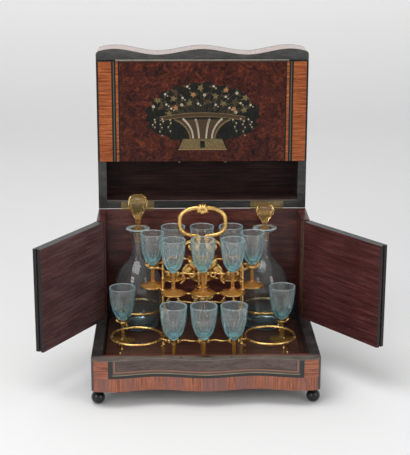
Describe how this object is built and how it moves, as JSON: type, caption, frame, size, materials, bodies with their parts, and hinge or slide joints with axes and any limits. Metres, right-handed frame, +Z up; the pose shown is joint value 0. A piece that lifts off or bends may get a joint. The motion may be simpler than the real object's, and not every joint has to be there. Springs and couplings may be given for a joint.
{
  "type": "liqueur cabinet",
  "caption": "Veneered liqueur cabinet with a hinged lid, hanging front flap, side doors and a lift-out carrier of decanters and stemmed glasses.",
  "frame": {"origin": "on the floor under the middle of the shut case", "axes": "+X to the right as seen from the front, +Y to the back, +Z up"},
  "size_m": [0.5062, 0.3026, 0.4826],
  "materials": {
    "kingwood": "french polished kingwood crossbanding",
    "burl": "french polished burl veneer with inlay",
    "ebonised": "ebonised and polished",
    "rosewood": "polished dark red-brown veneer",
    "mahogany": "worn polish",
    "brass": "aged brass",
    "gilt_bronze": "chased and gilt",
    "clear_glass": "clear blown glass",
    "tinted_glass": "clear glass shading to turquoise, amber stem and foot",
    "amber_glass": "amber glass"
  },
  "bodies": {
    "case": {"base_front_rail": "kingwood", "base_left_rail": "ebonised", "base_right_rail": "ebonised", "base_back_rail": "ebonised", "base_floor_board": "mahogany", "tray_lip_strip": "mahogany", "ball_feet": "ebonised", "strike_plate": "brass", "back_panel": "rosewood", "left_return": "rosewood", "right_return": "rosewood", "left_return_hinge_leaf": "brass", "right_return_hinge_leaf": "brass", "lid_hinge_case_leaves_and_pins": "brass"},
    "lid": {"lid_top_board": "burl", "lid_front_rail": "ebonised", "lid_left_rail": "ebonised", "lid_right_rail": "ebonised", "lid_back_rail": "ebonised", "lid_lining_panel": "rosewood", "lid_hinge_lid_leaves": "brass", "flap_hinge_lid_leaf_and_pin": "brass"},
    "flap": {"flap_panel": "burl", "flap_hinge_flap_leaf": "brass", "flap_locating_pins": "brass", "keyhole_escutcheon": "brass", "lock_case": "brass"},
    "bolt": {"lock_bolt": "brass"},
    "left_door": {"left_door_panel": "rosewood", "left_door_hinge_leaf_and_pin": "brass"},
    "right_door": {"right_door_panel": "rosewood", "right_door_hinge_leaf_and_pin": "brass"},
    "carrier": {"carrier_board": "mahogany", "decanter_ring_front_left": "gilt_bronze", "decanter_ring_front_right": "gilt_bronze", "decanter_ring_rear_left": "gilt_bronze", "decanter_ring_rear_right": "gilt_bronze", "lower_glass_holders": "gilt_bronze", "upper_plate_tier": "gilt_bronze", "upper_glass_holders": "gilt_bronze", "tier_posts": "gilt_bronze", "carry_handle": "gilt_bronze"},
    "decanter_left": {"decanter_left": "clear_glass"},
    "decanter_right": {"decanter_right": "clear_glass"},
    "stopper_left": {"stopper_left": "amber_glass"},
    "stopper_right": {"stopper_right": "amber_glass"},
    "upper_glass_front_left": {"upper_glass_front_left": "tinted_glass"},
    "upper_glass_front_middle": {"upper_glass_front_middle": "tinted_glass"},
    "upper_glass_front_right": {"upper_glass_front_right": "tinted_glass"},
    "upper_glass_side_left": {"upper_glass_side_left": "tinted_glass"},
    "upper_glass_side_right": {"upper_glass_side_right": "tinted_glass"},
    "upper_glass_rear_left": {"upper_glass_rear_left": "tinted_glass"},
    "upper_glass_rear_middle": {"upper_glass_rear_middle": "tinted_glass"},
    "upper_glass_rear_right": {"upper_glass_rear_right": "tinted_glass"},
    "lower_glass_front_left": {"lower_glass_front_left": "tinted_glass"},
    "lower_glass_front_middle": {"lower_glass_front_middle": "tinted_glass"},
    "lower_glass_front_right": {"lower_glass_front_right": "tinted_glass"},
    "lower_glass_side_left": {"lower_glass_side_left": "tinted_glass"},
    "lower_glass_side_right": {"lower_glass_side_right": "tinted_glass"}
  },
  "joints": [
    {"name": "lid_hinge", "type": "hinge", "parent": "case", "child": "lid", "pos_m": [0, 0.1223, 0.2302], "axis": [-1, 0, 0], "range_deg": [-90, 0]},
    {"name": "flap_hinge", "type": "hinge", "parent": "lid", "child": "flap", "pos_m": [0, 0.1223, 0.4646], "axis": [-1, 0, 0], "range_deg": [0, 90]},
    {"name": "bolt_slide", "type": "slide", "parent": "flap", "child": "bolt", "axis": [0, 0, -1], "range_m": [0, 0.005]},
    {"name": "left_door_hinge", "type": "hinge", "parent": "case", "child": "left_door", "pos_m": [-0.1651, 0.05195, 0.074], "axis": [0, 0, -1], "range_deg": [-30.3, 139.7]},
    {"name": "right_door_hinge", "type": "hinge", "parent": "case", "child": "right_door", "pos_m": [0.1651, 0.05195, 0.074], "axis": [0, 0, 1], "range_deg": [-36.5, 133.5]},
    {"name": "carrier_lift", "type": "slide", "parent": "case", "child": "carrier", "axis": [0, 0, 1], "range_m": [0, 0.12]},
    {"name": "decanter_left_lift", "type": "slide", "parent": "carrier", "child": "decanter_left", "axis": [0, 0, 1], "range_m": [0, 0.17]},
    {"name": "stopper_left_lift", "type": "slide", "parent": "decanter_left", "child": "stopper_left", "axis": [0, 0, 1], "range_m": [0, 0.03]},
    {"name": "decanter_right_lift", "type": "slide", "parent": "carrier", "child": "decanter_right", "axis": [0, 0, 1], "range_m": [0, 0.17]},
    {"name": "stopper_right_lift", "type": "slide", "parent": "decanter_right", "child": "stopper_right", "axis": [0, 0, 1], "range_m": [0, 0.03]},
    {"name": "upper_glass_front_left_lift", "type": "slide", "parent": "carrier", "child": "upper_glass_front_left", "axis": [0, 0, 1], "range_m": [0, 0.022]},
    {"name": "upper_glass_front_middle_lift", "type": "slide", "parent": "carrier", "child": "upper_glass_front_middle", "axis": [0, 0, 1], "range_m": [0, 0.022]},
    {"name": "upper_glass_front_right_lift", "type": "slide", "parent": "carrier", "child": "upper_glass_front_right", "axis": [0, 0, 1], "range_m": [0, 0.022]},
    {"name": "upper_glass_side_left_lift", "type": "slide", "parent": "carrier", "child": "upper_glass_side_left", "axis": [0, 0, 1], "range_m": [0, 0.022]},
    {"name": "upper_glass_side_right_lift", "type": "slide", "parent": "carrier", "child": "upper_glass_side_right", "axis": [0, 0, 1], "range_m": [0, 0.022]},
    {"name": "upper_glass_rear_left_lift", "type": "slide", "parent": "carrier", "child": "upper_glass_rear_left", "axis": [0, 0, 1], "range_m": [0, 0.022]},
    {"name": "upper_glass_rear_middle_lift", "type": "slide", "parent": "carrier", "child": "upper_glass_rear_middle", "axis": [0, 0, 1], "range_m": [0, 0.022]},
    {"name": "upper_glass_rear_right_lift", "type": "slide", "parent": "carrier", "child": "upper_glass_rear_right", "axis": [0, 0, 1], "range_m": [0, 0.022]},
    {"name": "lower_glass_front_left_lift", "type": "slide", "parent": "carrier", "child": "lower_glass_front_left", "axis": [0, 0, 1], "range_m": [0, 0.022]},
    {"name": "lower_glass_front_middle_lift", "type": "slide", "parent": "carrier", "child": "lower_glass_front_middle", "axis": [0, 0, 1], "range_m": [0, 0.022]},
    {"name": "lower_glass_front_right_lift", "type": "slide", "parent": "carrier", "child": "lower_glass_front_right", "axis": [0, 0, 1], "range_m": [0, 0.022]},
    {"name": "lower_glass_side_left_lift", "type": "slide", "parent": "carrier", "child": "lower_glass_side_left", "axis": [0, 0, 1], "range_m": [0, 0.022]},
    {"name": "lower_glass_side_right_lift", "type": "slide", "parent": "carrier", "child": "lower_glass_side_right", "axis": [0, 0, 1], "range_m": [0, 0.022]}
  ],
  "couplings": [
    {"joint": "flap_hinge", "follows": "lid_hinge", "ratio": -1}
  ]
}
